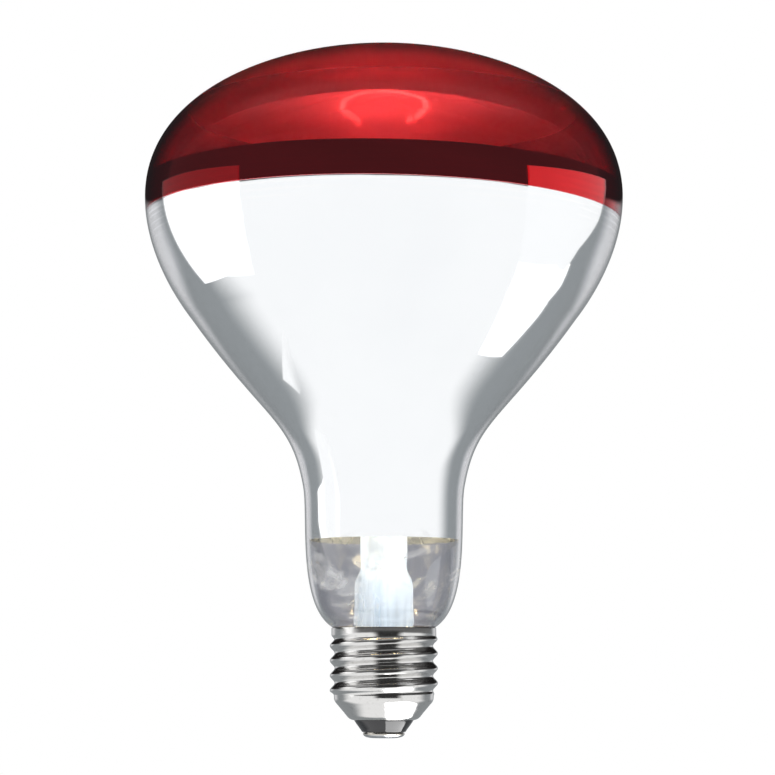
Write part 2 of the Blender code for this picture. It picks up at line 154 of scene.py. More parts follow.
class Nodes:
    """A small wrapper that adds and links shader nodes in one line each."""

    def __init__(self, tree):
        self.tree = tree

    def add(self, kind, **values):
        node = self.tree.nodes.new(kind)
        for key, value in values.items():
            setattr(node, key, value)
        return node

    def link(self, source, target):
        self.tree.links.new(source, target)

    def math(self, operation, a, b=None, clamp=False):
        node = self.add("ShaderNodeMath", operation=operation, use_clamp=clamp)
        for socket, value in zip(node.inputs, (a, b)):
            if value is None:
                continue
            if isinstance(value, (int, float)):
                socket.default_value = value
            else:
                self.link(value, socket)
        return node.outputs[0]

    def smooth(self, value, low, high, out_low=0.0, out_high=1.0):
        node = self.add("ShaderNodeMapRange", interpolation_type="SMOOTHSTEP")
        self.link(value, node.inputs["Value"])
        limits = {"From Min": low, "From Max": high, "To Min": out_low, "To Max": out_high}
        for name, number in limits.items():
            node.inputs[name].default_value = number
        return node.outputs["Result"]

    def mix(self, factor, a, b):
        node = self.add("ShaderNodeMix", data_type="RGBA")
        for socket, value in ((node.inputs["Factor"], factor), (node.inputs["A"], a), (node.inputs["B"], b)):
            if isinstance(value, (tuple, list)):
                socket.default_value = (*value[:3], 1.0)
            elif isinstance(value, (int, float)):
                socket.default_value = value
            else:
                self.link(value, socket)
        return node.outputs["Result"]

    def noise(self, scale, detail=2.0, stretch=(1.0, 1.0, 1.0), distortion=0.0):
        place = self.add("ShaderNodeTexCoord").outputs["Object"]
        mapping = self.add("ShaderNodeMapping")
        mapping.inputs["Scale"].default_value = stretch
        self.link(place, mapping.inputs["Vector"])
        node = self.add("ShaderNodeTexNoise")
        self.link(mapping.outputs["Vector"], node.inputs["Vector"])
        node.inputs["Scale"].default_value = scale
        node.inputs["Detail"].default_value = detail
        node.inputs["Distortion"].default_value = distortion
        return node.outputs["Fac"]

    def bump(self, height, strength, distance):
        node = self.add("ShaderNodeBump")
        node.inputs["Strength"].default_value = strength
        node.inputs["Distance"].default_value = distance
        self.link(height, node.inputs["Height"])
        return node.outputs["Normal"]


def principled(name, colour, roughness, metallic=0.0, **sockets):
    material = bpy.data.materials.new(name)
    material.use_nodes = True
    shader = material.node_tree.nodes["Principled BSDF"]
    shader.inputs["Base Color"].default_value = (*colour, 1.0)
    shader.inputs["Roughness"].default_value = roughness
    shader.inputs["Metallic"].default_value = metallic
    for key, value in sockets.items():
        shader.inputs[key.replace("_", " ")].default_value = value
    return material, Nodes(material.node_tree), shader


# ================================================================== materials


def clear_glass():
    """Blown soda glass, with the faint long waves of a drawn neck, and white milky wisps low in the neck
    that are painted light: they stand for caustic streaks and reflections in the glass.
    """
    material, n, shader = principled("clear_blown_glass", (0.985, 0.992, 0.998), 0.0, IOR=1.51)
    shader.inputs["Transmission Weight"].default_value = 1.0
    waves = n.noise(22.0, 1.5, (1.0, 1.0, 0.35), 0.6)
    n.link(n.bump(waves, 0.06, 0.0006), shader.inputs["Normal"])
    n.link(n.smooth(n.noise(140.0, 3.0), 0.62, 0.80, 0.0, 0.05), shader.inputs["Roughness"])
    place = n.add("ShaderNodeSeparateXYZ")
    n.link(n.add("ShaderNodeTexCoord").outputs["Object"], place.inputs[0])
    height = place.outputs["Z"]
    # Painted light: a band low in the neck gets white milky wisps, which stand for caustic streaks and
    # reflections.
    height_mask = n.math("MULTIPLY", n.smooth(height, 0.052, 0.040), n.smooth(height, 0.022, 0.030))
    painted_caustic_wisps = n.smooth(n.noise(70.0, 5.0, (0.6, 0.6, 1.5), 2.2), 0.54, 0.72)
    milk_and_painted_light = n.math("MULTIPLY", n.math("MULTIPLY", height_mask, painted_caustic_wisps), 0.36)
    n.link(n.math("SUBTRACT", 1.0, milk_and_painted_light), shader.inputs["Transmission Weight"])
    return material


def red_filter():
    """See-through red lacquer, deeper in its thicker streaks and where it is looked through at a slant, with
    a faint painted glow all over it.
    """
    material, n, shader = principled("red_filter_lacquer", (0.80, 0.045, 0.075), 0.0, IOR=1.26)
    shader.inputs["Transmission Weight"].default_value = 1.0
    streaks = n.smooth(n.noise(26.0, 3.0, (1.0, 1.0, 3.0), 0.4), 0.30, 0.75)
    red = n.mix(streaks, (0.76, 0.040, 0.065), (0.84, 0.050, 0.085))
    slant = n.smooth(n.add("ShaderNodeLayerWeight").outputs["Facing"], 0.66, 0.86)
    n.link(n.mix(slant, red, (0.16, 0.012, 0.020)), shader.inputs["Base Color"])
    shader.inputs["Specular IOR Level"].default_value = 0.25
    n.link(n.bump(n.noise(60.0, 2.0), 0.03, 0.0004), shader.inputs["Normal"])
    place = n.add("ShaderNodeSeparateXYZ")
    n.link(n.add("ShaderNodeTexCoord").outputs["Object"], place.inputs[0])
    n.link(n.smooth(place.outputs["Z"], 0.144, 0.160, 0.0, 0.34), shader.inputs["Roughness"])
    # Painted glow: a faint pale emission over the whole coat stands for light scattered in the lacquer.
    shader.inputs["Emission Color"].default_value = (0.8, 0.75, 0.85, 1.0)
    shader.inputs["Emission Strength"].default_value = 0.007
    return material


def mirror_inside():
    """The film's free side, which the filament lights: satin aluminium with a crisper sheen."""
    material, n, shader = principled("aluminium_film_inside", (0.33, 0.35, 0.38), 0.3, 1.0)
    n.link(n.smooth(n.noise(120.0, 2.0), 0.2, 0.8, 0.26, 0.29), shader.inputs["Roughness"])
    shader.inputs["Coat Weight"].default_value = 1.0
    shader.inputs["Coat IOR"].default_value = 4.0
    shader.inputs["Coat Roughness"].default_value = 0.05
    return material


def mirror_film():
    """Vacuum-deposited aluminium seen through the glass it lies on."""
    material, n, shader = principled("aluminium_mirror_film", (0.93, 0.935, 0.94), 0.02, 1.0)
    cloud = n.smooth(n.noise(30.0, 3.0, (1.0, 1.0, 0.5)), 0.35, 0.75)
    n.link(n.mix(cloud, (0.955, 0.960, 0.965), (0.93, 0.937, 0.945)), shader.inputs["Base Color"])
    n.link(n.smooth(n.noise(420.0, 2.0), 0.45, 0.8, 0.012, 0.05), shader.inputs["Roughness"])
    return material


def stem_glass():
    """Pressed stem glass, milky and streaked where it was worked. Its milky parts carry a painted glow, an
    emission that stands for the filament's light piped down.
    """
    material, n, shader = principled("stem_glass", (0.93, 0.97, 1.0), 0.03, IOR=1.5)
    place = n.add("ShaderNodeSeparateXYZ")
    n.link(n.add("ShaderNodeTexCoord").outputs["Object"], place.inputs[0])
    height_mask = n.smooth(place.outputs["Z"], 0.032, 0.043, 0.50, 1.0)
    streaks = n.smooth(n.noise(160.0, 4.0, (1.0, 1.0, 0.12), 0.8), 0.35, 0.7)
    milk_and_painted_light = n.math("MULTIPLY", height_mask, n.math("ADD", n.math("MULTIPLY", streaks, 0.7), 0.35), clamp=True)
    n.link(n.math("SUBTRACT", 1.0, milk_and_painted_light), shader.inputs["Transmission Weight"])
    n.link(n.bump(n.noise(190.0, 3.0, (1.0, 1.0, 0.25), 1.2), 0.30, 0.0006), shader.inputs["Normal"])
    n.link(n.smooth(n.noise(320.0, 3.0), 0.45, 0.85, 0.01, 0.14), shader.inputs["Roughness"])
    # Painted glow: the milky parts emit bluish white light, though the glass is no lamp. The exhaust tip,
    # arbor and fuse sleeve share it.
    n.link(n.mix(milk_and_painted_light, (0.0, 0.0, 0.0), (0.80, 0.90, 1.0)), shader.inputs["Emission Color"])
    shader.inputs["Emission Strength"].default_value = 0.45
    return material


def nickel_plate():
    """Bright nickel on rolled brass, with rolling lines round the shell and fine wear on the crests."""
    material, n, shader = principled("nickel_plate", (0.74, 0.735, 0.72), 0.14, 1.0)
    rolled = n.noise(260.0, 4.0, (0.25, 0.25, 5.0))
    spots = n.smooth(n.noise(900.0, 4.0), 0.55, 0.75)
    n.link(n.mix(spots, (0.76, 0.755, 0.745), (0.66, 0.655, 0.64)), shader.inputs["Base Color"])
    n.link(n.smooth(rolled, 0.3, 0.8, 0.12, 0.24), shader.inputs["Roughness"])
    n.link(n.bump(rolled, 0.06, 0.00005), shader.inputs["Normal"])
    return material


def plain_metal(name, colour, worn, low, high, scale):
    """A drawn or sheet metal: two tones in fine streaks, and roughness that varies with them."""
    material, n, shader = principled(name, colour, low, 1.0)
    streak = n.noise(scale, 4.0, (1.0, 1.0, 0.4))
    n.link(n.mix(n.smooth(streak, 0.35, 0.7), colour, worn), shader.inputs["Base Color"])
    n.link(n.smooth(streak, 0.25, 0.8, low, high), shader.inputs["Roughness"])
    n.link(n.bump(streak, 0.15, 0.00005), shader.inputs["Normal"])
    return material


def black_glass():
    """Vitrite: black glass, poured hot, with a faint orange peel."""
    material, n, shader = principled("black_insulating_glass", (0.006, 0.006, 0.008), 0.05, IOR=1.7)
    n.link(n.smooth(n.noise(700.0, 3.0), 0.5, 0.8, 0.035, 0.12), shader.inputs["Roughness"])
    n.link(n.bump(n.noise(240.0, 2.0), 0.10, 0.0002), shader.inputs["Normal"])
    return material


def cement():
    """Dry, matt capping cement with a sandy grain."""
    material, n, shader = principled("capping_cement", (0.55, 0.47, 0.36), 0.9)
    grain = n.noise(1600.0, 5.0)
    tone = n.mix(n.smooth(grain, 0.35, 0.7), (0.62, 0.54, 0.43), (0.42, 0.35, 0.26))
    n.link(tone, shader.inputs["Base Color"])
    n.link(n.bump(grain, 0.5, 0.0001), shader.inputs["Normal"])
    return material


def hot_tungsten(strength):
    """Tungsten wire at working heat."""
    material, n, shader = principled("hot_tungsten", (0.30, 0.27, 0.25), 0.45, 0.6)
    shader.inputs["Emission Color"].default_value = (1.0, 0.80, 0.45, 1.0)
    shader.inputs["Emission Strength"].default_value = strength
    n.link(n.smooth(n.noise(500.0, 3.0), 0.3, 0.8, 0.35, 0.6), shader.inputs["Roughness"])
    return material


# ================================================================== mesh helpers


def finish_piece(name, shape, material, nodes, smooth=50.0):
    mesh = bpy.data.meshes.new(name)
    shape.to_mesh(mesh)
    shape.free()
    mesh.shade_smooth()
    mesh.set_sharp_from_angle(angle=math.radians(smooth))
    mesh.materials.append(material)
    piece = bpy.data.objects.new(name, mesh)
    bpy.context.scene.collection.objects.link(piece)
    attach(piece, "root")
    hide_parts(*nodes)
    return piece


def lathe(outline, steps, closed=True):
    """A solid about Z. The outline falls outside and rises inside; it is a list of (radius, height), or a
    function of the angle that gives such a list. Points at radius 0 become poles."""
    shape = bmesh.new()
    angles = [2 * math.pi * i / steps for i in range(steps)]
    outlines = [outline(a) if callable(outline) else outline for a in angles]
    rings = []
    for k, (radius, height) in enumerate(outlines[0]):
        if radius < 1e-6:
            rings.append([shape.verts.new((0.0, 0.0, height * MM))])
            continue
        ring = []
        for angle, points in zip(angles, outlines):
            radius, height = points[k]
            x, y = radius * MM * math.cos(angle), radius * MM * math.sin(angle)
            ring.append(shape.verts.new((x, y, height * MM)))
        rings.append(ring)
    pairs = list(zip(rings, rings[1:]))
    if closed:
        pairs.append((rings[-1], rings[0]))
    for upper, lower in pairs:
        for i in range(steps):
            j = (i + 1) % steps
            if len(upper) == 1 and len(lower) == 1:
                break
            if len(upper) == 1:
                shape.faces.new((upper[0], lower[i], lower[j]))
            elif len(lower) == 1:
                shape.faces.new((upper[i], lower[0], upper[j]))
            else:
                shape.faces.new((upper[i], lower[i], lower[j], upper[j]))
    return shape


def tube_along(route, radii, sides=16):
    """A round tube along (x, y, z) points in millimetres, with one radius or one for each point."""
    shape = bmesh.new()
    points = [Vector(p) for p in route]
    if isinstance(radii, (int, float)):
        radii = [radii] * len(points)
    normal = None
    rings = []
    for i, point in enumerate(points):
        along = (points[min(i + 1, len(points) - 1)] - points[max(i - 1, 0)]).normalized()
        if normal is None:
            normal = along.orthogonal().normalized()
        normal = (normal - along * normal.dot(along)).normalized()
        across = along.cross(normal)
        ring = []
        for k in range(sides):
            a = 2 * math.pi * k / sides
            place = point + (normal * math.cos(a) + across * math.sin(a)) * radii[i]
            ring.append(shape.verts.new(place * MM))
        rings.append(ring)
    for lower, upper in zip(rings, rings[1:]):
        for k in range(sides):
            j = (k + 1) % sides
            shape.faces.new((lower[k], lower[j], upper[j], upper[k]))
    shape.faces.new(list(reversed(rings[0])))
    shape.faces.new(rings[-1])
    return shape


def eased(route, rounds=3):
    """A route with its corners cut, so that a bent wire has soft bends."""
    for _ in range(rounds):
        softer = [route[0]]
        for a, b in zip(route, route[1:]):
            a, b = Vector(a), Vector(b)
            softer += [a.lerp(b, 0.25), a.lerp(b, 0.75)]
        route = softer + [route[-1]]
    return [tuple(point) for point in route]


def cubic(start, lead_out, lead_in, end, steps):
    """Points along a cubic curve, without its last point."""
    guides = (start, lead_out, lead_in, end)
    points = []
    for i in range(steps):
        t = i / steps
        weights = ((1 - t) ** 3, 3 * (1 - t) ** 2 * t, 3 * (1 - t) * t * t, t**3)
        points.append(tuple(sum(w * p[k] for w, p in zip(weights, guides)) for k in (0, 1)))
    return points


def arc(centre, radius, start, end, steps):
    """Points along an arc between two angles in degrees."""
    turns = [math.radians(start + (end - start) * i / steps) for i in range(steps + 1)]
    return [(centre[0] + radius * math.cos(a), centre[1] + radius * math.sin(a)) for a in turns]


def bulb_curve(fineness=14):
    """The bulb's outer generatrix, from the top of the dome down to the start of the seal."""
    pole, equator = (0.0, LAMP_TOP), (BULB_RADIUS, EQUATOR)
    curve = cubic(pole, (23.7, LAMP_TOP), (BULB_RADIUS, 160.6), equator, 4 * fineness)
    curve += cubic(equator, (BULB_RADIUS, 117.7), (48.7, 104.5), FLANK_POINT, 2 * fineness)
    curve += cubic(FLANK_POINT, (29.2, 77.5), (22.9, 78.3), THROAT_POINT, 3 * fineness)
    curve += cubic(THROAT_POINT, (18.7, 54.3), (21.2, 33.6), SEAL_POINT, 3 * fineness)
    curve.append(SEAL_POINT)
    return curve


def clip(curve, low, high):
    """The stretch of a falling curve between two heights, cut exactly at both."""
    stretch = []
    for upper, lower in zip(curve, curve[1:]):
        for height in (high, low):
            if upper[1] > height > lower[1]:
                part = (upper[1] - height) / (upper[1] - lower[1])
                stretch.append((upper[0] + part * (lower[0] - upper[0]), height))
        if low <= lower[1] <= high:
            stretch.append(lower)
    if curve[0][1] <= high:
        stretch.insert(0, curve[0])
    return sorted(stretch, key=lambda point: -point[1])


def inset(curve, depth):
    """A falling curve moved inwards along its normals. A point on the axis stays on the axis."""
    moved = []
    last = len(curve) - 1
    for i, (radius, height) in enumerate(curve):
        before, after = curve[max(i - 1, 0)], curve[min(i + 1, last)]
        along = Vector((after[0] - before[0], after[1] - before[1])).normalized()
        if radius == 0.0:
            moved.append((0.0, height - depth))
        else:
            moved.append((radius + along.y * depth, height - along.x * depth))
    return moved


# ================================================================== bulb


def resample(curve, count):
    """The same falling curve with a fixed number of points, evenly spaced along it."""
    lengths = [0.0]
    for upper, lower in zip(curve, curve[1:]):
        lengths.append(lengths[-1] + math.dist(upper, lower))
    points = []
    k = 0
    for i in range(count):
        wanted = lengths[-1] * i / (count - 1)
        while k < len(lengths) - 2 and lengths[k + 1] < wanted:
            k += 1
        part = (wanted - lengths[k]) / (lengths[k + 1] - lengths[k])
        points.append(tuple(a + (b - a) * part for a, b in zip(curve[k], curve[k + 1])))
    return points


def lean(angle):
    """How far the coats' edges lie below their middle height: the lamp is dipped slightly out of square."""
    return EDGE_LEAN * BULB_RADIUS * math.cos(angle)


def feather(skin, depth):
    """A skin moved inwards by a depth that runs out at its lower edge."""
    edge = skin[-1][1]
    moved = []
    for (r, z), (deep_r, deep_z) in zip(skin, inset(skin, depth)):
        part = min(max((z - edge) / EDGE_ROW, 0.1), 1.0)
        moved.append((r + (deep_r - r) * part, z + (deep_z - z) * part))
    return moved


def make_bulb():
    curve = bulb_curve(40)
    fine = bulb_curve()
    inner = list(reversed(inset(fine, GLASS_WALL)))
    collar = cubic(SEAL_POINT, (12.2, 26.5), (SEAL_RADIUS, 26.1), (SEAL_RADIUS, 24.3), 8)[1:]
    foot = [(SEAL_RADIUS, SEAL_END + 0.4), (SEAL_RADIUS - 0.4, SEAL_END), (SEAL_RADIUS - 1.0, SEAL_END)]
    foot += [(SEAL_RADIUS - GLASS_WALL, SEAL_END + 0.4), (SEAL_RADIUS - GLASS_WALL, 25.2)]

    def edge_rows(edge, *steps):
        return [clip(curve, edge + step, LAMP_TOP)[-1] for step in steps]

    def dome(angle):
        edge = RED_EDGE - lean(angle)
        skin = resample(clip(curve, edge + 2 * EDGE_ROW, LAMP_TOP), 78)
        return [(0.0, LAMP_TOP)] + skin[1:] + edge_rows(edge, EDGE_ROW, 0.0)

    def envelope(angle):
        edge = RED_EDGE - lean(angle)
        flank = edge_rows(edge, -0.3 * EDGE_ROW, -EDGE_ROW)
        flank += resample(clip(curve, SEAL_POINT[1], edge - 2 * EDGE_ROW), 150)
        return feather(dome(angle), RED_COAT + SKIN_GAP) + flank + collar + foot + inner

    def coat(angle):
        skin = dome(angle)
        return skin + list(reversed(feather(skin, RED_COAT)))

    def film(angle):
        skin = resample(clip(curve, MIRROR_BOTTOM, MIRROR_TOP - lean(angle)), 120)
        skin = inset(skin, GLASS_WALL + SKIN_GAP)
        return skin + list(reversed(inset(skin, FILM)))

    shape = lathe(envelope, ROUND, False)
    finish_piece("envelope_glass", shape, clear_glass(), ["glass_envelope"])
    shape = lathe(coat, ROUND, False)
    finish_piece("red_dome_coat", shape, red_filter(), ["red_filter_coat"])
    shape = lathe(film, ROUND)
    mirror = finish_piece("mirror_film", shape, mirror_film(), ["reflector_mirror_coat"])
    mirror.data.materials.append(mirror_inside())
    for face in mirror.data.polygons:
        outward = Vector((face.center.x, face.center.y, 0.0))
        if face.normal.dot(outward) < 0.0:
            face.material_index = 1


# ================================================================== stem


def press_blend(height):
    """How far the stem is pressed flat at a height: 0 below the waist and 1 above it."""
    part = min(max((height - WAIST + 3.0) / 6.0, 0.0), 1.0)
    return part * part * (3.0 - 2.0 * part)


def make_stem(glass):
    waist, shoulder = (WAIST_RADIUS, WAIST), (STEM_RADIUS, STEM_SHOULDER)
    side = cubic(waist, (WAIST_RADIUS, 39.6), (STEM_RADIUS, 39.8), shoulder, 16)
    side += cubic(shoulder, (STEM_RADIUS, 30.0), (STEM_RADIUS, 27.0), (FLARE_RADIUS, SEAL_END), 20)
    top = arc((WAIST_RADIUS - PRESS_ROUND, PRESS_TOP - PRESS_ROUND), PRESS_ROUND, 90.0, 0.0, 8)
    levels = [(WAIST_RADIUS, PRESS_TOP - PRESS_ROUND - 0.6 * i) for i in range(1, 10)]
    bore = [point for point in inset(side, STEM_WALL) if point[1] < STEM_BORE_TOP - 1.2]
    roof = [(WAIST_RADIUS - 1.6, STEM_BORE_TOP - 0.5), (WAIST_RADIUS - 2.6, STEM_BORE_TOP)]
    roof.append((0.0, STEM_BORE_TOP))
    foot = [(FLARE_RADIUS, SEAL_END), (FLARE_RADIUS - STEM_WALL, SEAL_END)]
    outline = [(0.0, PRESS_TOP)] + top + levels + side + foot + list(reversed(bore)) + roof
    shape = lathe(outline, 96, False)
    for vertex in shape.verts:
        blend = press_blend(vertex.co.z / MM)
        vertex.co.x *= 1.0 + blend * 0.05
        vertex.co.y *= 1.0 - blend * 0.5
    finish_piece("stem", shape, glass, ["stem_flare"])

    hollow = EXHAUST_RADIUS - EXHAUST_WALL
    tip = arc((0.0, EXHAUST_TIP + EXHAUST_RADIUS), EXHAUST_RADIUS, 0.0, -90.0, 12)
    hollow_end = arc((0.0, EXHAUST_TIP + EXHAUST_RADIUS), hollow, -90.0, 0.0, 12)
    tube = [(EXHAUST_RADIUS, EXHAUST_TOP)] + tip[:-1] + [(0.0, EXHAUST_TIP)]
    tube += [(0.0, EXHAUST_TIP + EXHAUST_WALL)] + hollow_end[1:] + [(hollow, EXHAUST_TOP)]
    finish_piece("exhaust_tube_tip", lathe(tube, 48), glass, ["exhaust_tube"])

    low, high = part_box("arbor_rod")
    foot, top = low.z / MM, high.z / MM
    bead = high.x / MM
    middle = top - bead
    rod = [(0.0, top)] + arc((0.0, middle), bead, 90.0, -50.0, 20)[1:]
    neck = (ARBOR_RADIUS, middle - 3.0), (ARBOR_RADIUS, middle - 4.0)
    rod += cubic((1.8, middle - 2.15), (1.62, middle - 2.6), *neck, 6)
    rod += [(ARBOR_RADIUS, foot + 1.0), (ARBOR_RADIUS + 0.5, foot), (0.0, foot)]
    finish_piece("arbor", lathe(rod, 48, False), glass, ["arbor_rod"])


# ================================================================== filament and wires


def ring_place(angle, height=FILAMENT_HEIGHT, radius=FILAMENT_RING):
    """A point on the filament's ring, or at another height and radius on the same bearing."""
    return (radius * math.cos(angle), radius * math.sin(angle), height)


def make_filament(tungsten, molybdenum, nickel):
    start = -math.pi / 2 + FILAMENT_OPENING / 2
    sweep = 2 * math.pi - FILAMENT_OPENING
    turns = int(sweep * FILAMENT_RING / COIL_PITCH)
    route = []
    for i in range(turns * 12 + 1):
        angle = start + sweep * i / (turns * 12)
        spin = 2 * math.pi * i / 12
        height = FILAMENT_HEIGHT + COIL_RADIUS * math.sin(spin)
        route.append(ring_place(angle, height, FILAMENT_RING + COIL_RADIUS * math.cos(spin)))
    shape = tube_along(route, COIL_WIRE, 6)
    finish_piece("filament_helix", shape, tungsten, ["filament_coil"])

    bead_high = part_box("arbor_rod")[1].z / MM
    for i in range(SUPPORTS):
        angle = start + sweep * (i + 1) / (SUPPORTS + 1)
        foot = ring_place(angle, bead_high - 2.6, ARBOR_RADIUS)
        knee = ring_place(angle, 76.5, FILAMENT_RING - 1.5)
        elbow = ring_place(angle, 78.0, FILAMENT_RING)
        below = ring_place(angle, FILAMENT_HEIGHT - 1.15)
        route = eased([foot, knee, elbow, below])
        around = Vector((-math.sin(angle), math.cos(angle), 0.0))
        outward = Vector((math.cos(angle), math.sin(angle), 0.0))
        centre = Vector(ring_place(angle))
        for k in range(1, 27):
            turn = -math.pi / 2 + 2 * math.pi * k / 20
            loop = centre + (outward * math.cos(turn) + Vector((0, 0, 1)) * math.sin(turn)) * LOOP_RADIUS
            route.append(tuple(loop + around * (0.055 * k)))
        name = f"filament_support_{i + 1}"
        shape = tube_along(route, SUPPORT_WIRE, 10)
        finish_piece(name + "_hook", shape, molybdenum, [name])

    for side, sign in (("left", -1), ("right", 1)):
        end_angle = -math.pi / 2 + sign * (FILAMENT_OPENING / 2 - CLAMP_LAP)
        place = Vector(ring_place(end_angle))
        shape = bmesh.new()
        bmesh.ops.create_cube(shape, size=1.0)
        bmesh.ops.scale(shape, vec=[size * MM for size in CLAMP_SIZE], verts=shape.verts)
        rounding = {"offset": 0.35 * MM, "segments": 4, "profile": 0.5, "affect": "EDGES"}
        bmesh.ops.bevel(shape, geom=shape.edges, **rounding)
        turn = end_angle + math.pi / 2
        for vertex in shape.verts:
            x, y = vertex.co.x, vertex.co.y
            vertex.co.x = x * math.cos(turn) - y * math.sin(turn) + place.x * MM
            vertex.co.y = x * math.sin(turn) + y * math.cos(turn) + place.y * MM
            vertex.co.z += place.z * MM
        clamp = "filament_clamp_" + side
        finish_piece(clamp + "_crimp", shape, nickel, [clamp])
        x = sign * LEAD_X
        route = [(x, 0.0, PRESS_TOP - 1.0), (x, 0.0, 60.0)]
        route += [(place.x, place.y, 72.0), (place.x, place.y, 81.0)]
        lead = "inner_lead_" + side
        shape = tube_along(eased(route), LEAD_WIRE, 16)
        finish_piece(lead + "_wire", shape, nickel, [lead])


def make_outer_leads(tinned, glass):
    """The wires in the press and the leads below it, which run to the shell and to the centre contact."""
    seal_low, seal_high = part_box("press_seal_wire_left")
    for side, x in (("left", -LEAD_X), ("right", LEAD_X)):
        route = [(x, 0.0, seal_high.z / MM), (x, 0.0, seal_low.z / MM)]
        node = "press_seal_wire_" + side
        shape = tube_along(route, SEAL_WIRE, 16)
        finish_piece(node + "_fine", shape, tinned, [node])
    start = seal_low.z / MM
    way_out = SEAL_RADIUS + 0.5
    route = [(LEAD_X, 0.0, start), (LEAD_X, 0.0, 30.0), (3.0, 4.0, 25.0), (0.0, 6.4, 20.6)]
    route += [(0.0, 9.0, 18.8), (0.0, way_out, 19.4), (0.0, way_out, 24.0)]
    route.append((0.0, way_out + 0.5, 25.2))
    shape = tube_along(eased(route), OUTER_WIRE, 12)
    finish_piece("side_lead_wire", shape, tinned, ["side_lead"])
    fuse_low, fuse_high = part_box("fuse_link")
    fuse_x = (fuse_low.x + fuse_high.x) / 2 / MM
    bottom, top = fuse_low.z / MM, fuse_high.z / MM
    route = [(-LEAD_X, 0.0, start), (-LEAD_X, 0.0, 32.0), (fuse_x, 0.0, 29.0), (fuse_x, 0.0, top)]
    shape = tube_along(eased(route), OUTER_WIRE, 12)
    finish_piece("fuse_lead_wire", shape, tinned, ["fuse_lead"])
    route, radii = [], []
    for i in range(25):
        route.append((fuse_x, 0.0, bottom + (top - bottom) * i / 24))
        radii.append(FUSE_TIP + FUSE_SWELL * min(1.0, math.sin(math.pi * i / 24) * 3.0) ** 0.5)
    shape = tube_along(route, radii, 20)
    finish_piece("fuse_sleeve", shape, glass, ["fuse_link"])
    route = [(fuse_x, 0.0, bottom), (fuse_x, 0.0, 17.0), (-1.5, 0.0, 12.5)]
    route += [(0.0, 0.0, 10.5), (0.0, 0.0, 2.2)]
    shape = tube_along(eased(route), OUTER_WIRE, 12)
    finish_piece("contact_lead_wire", shape, tinned, ["contact_lead"])


def make_shield(steel):
    """The heat shield: a thin disc with a rounded edge and a hole for the stem's rod."""
    low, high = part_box("heat_shield_disc")
    radius, middle = high.x / MM, (low.z + high.z) / 2 / MM
    edge = arc((radius - SHIELD_HALF, middle), SHIELD_HALF, 90.0, -90.0, 6)
    outline = [(SHIELD_BORE, middle + SHIELD_HALF)] + edge + [(SHIELD_BORE, middle - SHIELD_HALF)]
    finish_piece("heat_shield", lathe(outline, 96), steel, ["heat_shield_disc"])


# ================================================================== cap


def thread_radius(angle, height):
    """Outer radius of the rolled right-handed thread, running out at both ends."""
    mean, depth = (CREST_RADIUS + ROOT_RADIUS) / 2, (CREST_RADIUS - ROOT_RADIUS) / 2
    phase = (height - THREAD_PHASE) / THREAD_PITCH - angle / (2 * math.pi)
    fade_top = min(max((THREAD_TOP - height) / 1.5, 0.0), 1.0)
    fade_bottom = min(max((height - THREAD_BOTTOM) / 1.2, 0.0), 1.0)
    fade_top = fade_top * fade_top * (3 - 2 * fade_top)
    fade_bottom = fade_bottom * fade_bottom * (3 - 2 * fade_bottom)
    wave = mean + depth * math.cos(2 * math.pi * phase)
    upper = RIM_RADIUS + (wave - RIM_RADIUS) * fade_top
    return CONE_RADIUS + (upper - CONE_RADIUS) * fade_bottom


